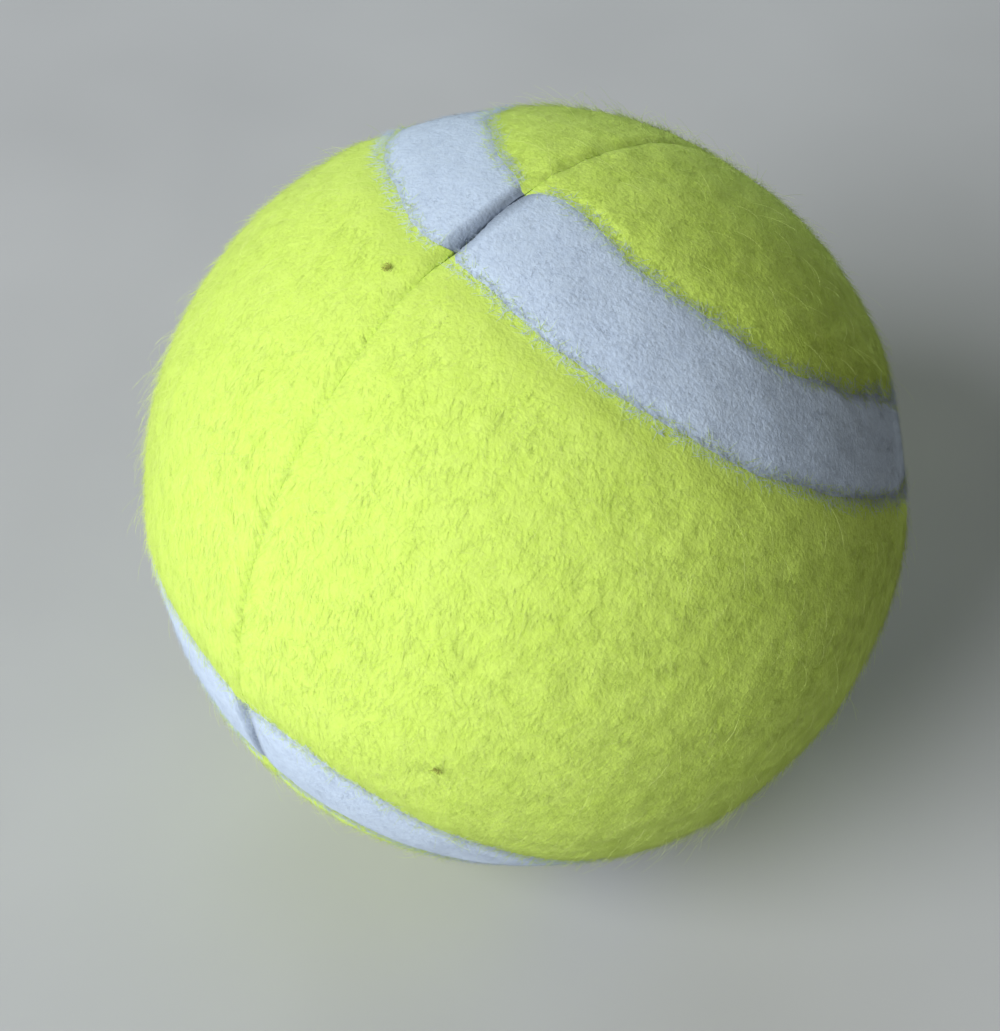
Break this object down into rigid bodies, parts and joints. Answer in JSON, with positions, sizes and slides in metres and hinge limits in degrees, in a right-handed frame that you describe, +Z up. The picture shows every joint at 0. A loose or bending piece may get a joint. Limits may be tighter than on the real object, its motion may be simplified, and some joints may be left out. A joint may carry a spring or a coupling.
{
  "type": "tennis ball",
  "caption": "Hollow rubber ball under a fuzzy yellow felt cover with a grooved seam and a wide white curved stripe, for hitting, throwing and fetching.",
  "frame": {"origin": "the ball's centre", "axes": "+Z up as the ball lies in the picture, +X along the axis of the right felt half cup, so that the cover's seam lies in the plane X = 0; the core's joint lies in the plane Z = 0"},
  "size_m": [0.066, 0.066, 0.066],
  "materials": {
    "yellow_felt": "fuzzy raised nap, matte",
    "white_felt": "matted short nap, matte",
    "seam_cement": "dry cement, matte",
    "cover_cement": "thin dry coat, satin",
    "core_rubber": "moulded, matte",
    "joint_cement": "cured cement, matte"
  },
  "bodies": {
    "root": {"felt_cover_right": "yellow_felt", "felt_cover_left": "yellow_felt", "white_stripe_right": "white_felt", "white_stripe_left": "white_felt", "cover_seam_cement": "seam_cement", "cover_cement_right": "cover_cement", "cover_cement_left": "cover_cement", "core_top_half": "core_rubber", "core_bottom_half": "core_rubber", "core_joint_cement": "joint_cement"}
  },
  "joints": []
}
